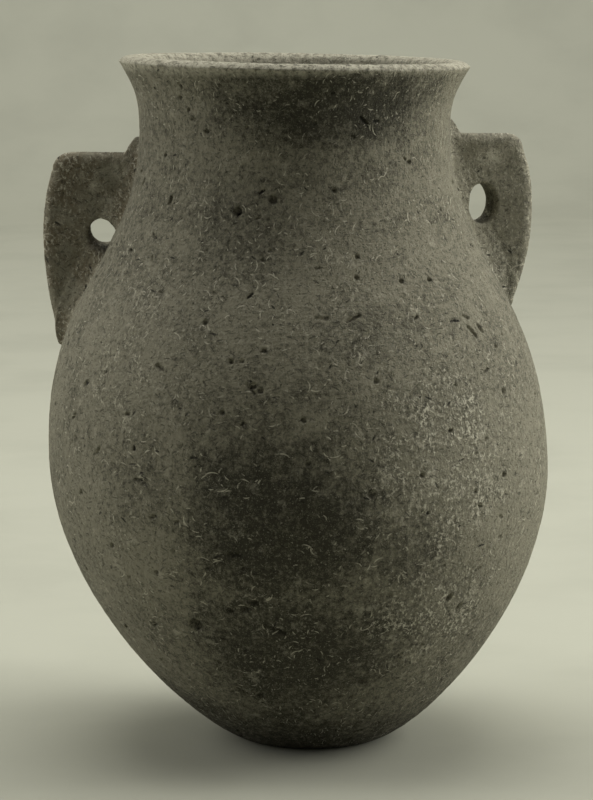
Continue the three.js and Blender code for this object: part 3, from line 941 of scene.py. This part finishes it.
class JAR_OT_wall(bpy.types.Operator):
    """Build the base pad and the coils of the wall"""

    bl_idname = "jar.wall"
    bl_label = "Build the wall"

    def execute(self, context):
        """Makes the wall's skin once, weathers it and cuts it into the pieces."""
        scene = context.scene
        clay = scene.jar_clay
        wall = Wall(scene.jar_wall)
        skin = Skin(wall, len(COILS))
        marks = void_marks(wall, clay)
        tree = weathering_tree(marks)
        quads = strip_quads(skin.rows, skin.columns, False)
        mesh = mesh_from("wall_form", skin.grid.reshape(-1, 3), quads)
        store(mesh, "outward", "FLOAT_VECTOR", skin.outward)
        unpressed = np.clip((skin.grid[..., 2] - PRESSED_BELOW) / PRESSED_FADE, 0, 1)
        store(mesh, "firmness", "FLOAT", unpressed)
        plain = fired_clay("wall_clay", clay)
        lip = fired_clay("rim_clay", clay, worn_lip=wall.rim_height)
        mesh = weathered("wall_form", mesh, tree, clay, plain)
        grid = points_of(mesh).reshape(skin.rows, skin.columns, 3)
        void = read(mesh, "void").reshape(skin.rows, skin.columns)
        normals = grid_normals(grid)
        wall_piece("base_pad", skin, skin.pad_rows(), grid, normals, void, plain, False)
        for coil, node in enumerate(COILS):
            material = lip if node == COILS[-1] else plain
            wall_piece(node, skin, skin.piece_rows(coil), grid, normals, void, material, True)
        return {"FINISHED"}


def solid_mesh(node):
    """A copy of a construction node's mesh, with only its points and faces."""
    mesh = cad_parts[node].data.copy()
    mesh.materials.clear()
    return mesh


def lug_skin(node, wall):
    """One smoothed skin over a lug's solid, its luting brought down flush with the wall."""
    form = linked(node + "_form", solid_mesh(node))
    melt = form.modifiers.new("One skin", "REMESH")
    melt.mode = "VOXEL"
    melt.voxel_size = LUG_SKIN_STEP
    smooth = form.modifiers.new("Wet finger", "SMOOTH")
    smooth.factor = 0.5
    smooth.iterations = LUG_SMOOTHING
    mesh = evaluated(form)
    bpy.data.objects.remove(form)
    place = points_of(mesh)
    stand, outward = wall.stand_off(place)
    clear = np.clip((stand - LUTING_CLEAR) / LUTING_FADE, 0, 1)
    place -= outward * (LUTING_SINK * (1 - clear * clear * (3 - 2 * clear)))[:, None]
    mesh.vertices.foreach_set("co", place.astype(np.float32).ravel())
    mesh.update()
    facing = np.empty(len(place) * 3, np.float32)
    mesh.vertex_normals.foreach_get("vector", facing)
    store(mesh, "outward", "FLOAT_VECTOR", facing)
    store(mesh, "firmness", "FLOAT", np.ones(len(place)))
    return mesh


class JAR_OT_lugs(bpy.types.Operator):
    """Build the two pierced lugs over their solids"""

    bl_idname = "jar.lugs"
    bl_label = "Build the lugs"

    def execute(self, context):
        """Skins, weathers and stains each lug."""
        clay = context.scene.jar_clay
        wall = Wall(context.scene.jar_wall)
        tree = bpy.data.node_groups["clay_surface"]
        stains = {"lug_left": (clay.russet, 0.75), "lug_right": (clay.bloom, 0.18)}
        for node, (stain, share) in stains.items():
            material = fired_clay(node + "_clay", clay, stain, share, chalk=0.75)
            mesh = weathered(node + "_shaped", lug_skin(node, wall), tree, clay, material)
            corners = np.empty(len(mesh.loops), np.int32)
            mesh.loops.foreach_get("vertex_index", corners)
            place = points_of(mesh)[corners]
            right, up = LUG_PATTERN_PLACE
            spread_sheet(mesh, place[:, 0] + right, place[:, 2] + up)
            mesh.polygons.foreach_set("use_smooth", np.ones(len(mesh.polygons), bool))
            settled(linked(node + "_clay", mesh), node)
        return {"FINISHED"}


def turned_to(target, place):
    """The rotation that points a light or camera at a target."""
    return (Vector(target) - Vector(place)).to_track_quat("-Z", "Y").to_euler()


def softbox(name, place, target, width, height, power):
    """A large soft area light aimed at a point."""
    light = bpy.data.lights.new(name, "AREA")
    light.shape = "RECTANGLE"
    light.size = width
    light.size_y = height
    light.energy = power
    light.color = ROOM_LIGHT
    made = linked(name, light)
    made.location = place
    made.rotation_euler = turned_to(target, place)


def floor_mesh():
    """A sheet of paper that sweeps up into a backdrop behind the jar."""
    side = [(PAPER_FRONT, 0.0)]
    side += [
        (PAPER_BACK + PAPER_SWEEP * math.sin(turn), PAPER_SWEEP * (1 - math.cos(turn)))
        for turn in np.linspace(0, math.pi / 2, PAPER_STEPS)
    ]
    side.append((PAPER_BACK + PAPER_SWEEP, PAPER_TOP))
    vertices = [(x, y, z) for y, z in side for x in (-PAPER_HALF_WIDTH, PAPER_HALF_WIDTH)]
    faces = [(2 * i, 2 * i + 1, 2 * i + 3, 2 * i + 2) for i in range(len(side) - 1)]
    mesh = bpy.data.meshes.new("floor")
    mesh.from_pydata(vertices, [], faces)
    mesh.polygons.foreach_set("use_smooth", np.ones(len(faces), bool))
    return mesh


def paper(name, colour):
    """Matt paper for the floor and backdrop, very slightly mottled."""
    material = bpy.data.materials.new(name)
    material.use_nodes = True
    tree = material.node_tree
    shader = tree.nodes["Principled BSDF"]
    place = object_place(tree)
    darker = tuple(part * 0.93 for part in colour)
    shade = place.colour(colour).blended(darker, place.noise(7.0, 4.0).rising(0.4, 0.7))
    shade.into(shader, "Base Color")
    shader.inputs["Roughness"].default_value = 0.95
    shader.inputs["Specular IOR Level"].default_value = 0.1
    return material


class JAR_OT_stage(bpy.types.Operator):
    """Lay the floor and set the lights and camera"""

    bl_idname = "jar.stage"
    bl_label = "Set the stage"

    def execute(self, context):
        """Makes the floor, the lights, the room's own light and the camera."""
        stage = context.scene.jar_stage
        mesh = floor_mesh()
        mesh.materials.append(paper("floor_paper", stage.floor_colour))
        linked("floor", mesh)
        for light in LIGHTS:
            softbox(*light)
        world = context.scene.world or bpy.data.worlds.new("soft room")
        context.scene.world = world
        world.use_nodes = True
        background = world.node_tree.nodes["Background"]
        background.inputs["Color"].default_value = (*ROOM_LIGHT, 1.0)
        background.inputs["Strength"].default_value = ROOM_STRENGTH
        context.scene.view_settings.view_transform = "Standard"
        data = bpy.data.cameras.new("camera")
        data.lens = stage.lens
        data.sensor_width = 36.0
        data.clip_end = 30.0
        camera = linked("camera", data)
        camera.location = (stage.camera_aside, -stage.camera_distance, stage.camera_height)
        target = (stage.camera_aside, 0.0, stage.aim_height)
        camera.rotation_euler = turned_to(target, camera.location)
        context.scene.camera = camera
        return {"FINISHED"}


class JAR_PT_panel(bpy.types.Panel):
    """The jar's sizes, clay and stage"""

    bl_idname = "JAR_PT_panel"
    bl_label = "Pottery jar"
    bl_space_type = "VIEW_3D"
    bl_region_type = "UI"
    bl_category = "Jar"

    def draw(self, context):
        """Lists each group of settings over the button that builds from it."""
        for owner, operator in zip(SETTINGS, ("jar.wall", "jar.lugs", "jar.stage")):
            group = getattr(context.scene, owner)
            column = self.layout.column(align=True)
            for name in group.__annotations__:
                column.prop(group, name)
            column.operator(operator)


SETTINGS = {"jar_wall": JarWall, "jar_clay": JarClay, "jar_stage": JarStage}
CLASSES = (*SETTINGS.values(), JAR_OT_wall, JAR_OT_lugs, JAR_OT_stage, JAR_PT_panel)


def register():
    """Adds the classes, and their settings to the scene."""
    for kind in CLASSES:
        bpy.utils.register_class(kind)
    for name, kind in SETTINGS.items():
        setattr(bpy.types.Scene, name, PointerProperty(type=kind))


def unregister():
    """Takes the settings and classes away again."""
    for name in SETTINGS:
        delattr(bpy.types.Scene, name)
    for kind in reversed(CLASSES):
        bpy.utils.unregister_class(kind)


def main():
    """Builds the jar and its stage."""
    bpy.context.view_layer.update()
    register()
    bpy.ops.jar.wall()
    bpy.ops.jar.lugs()
    bpy.ops.jar.stage()


if __name__ == "__main__":
    main()
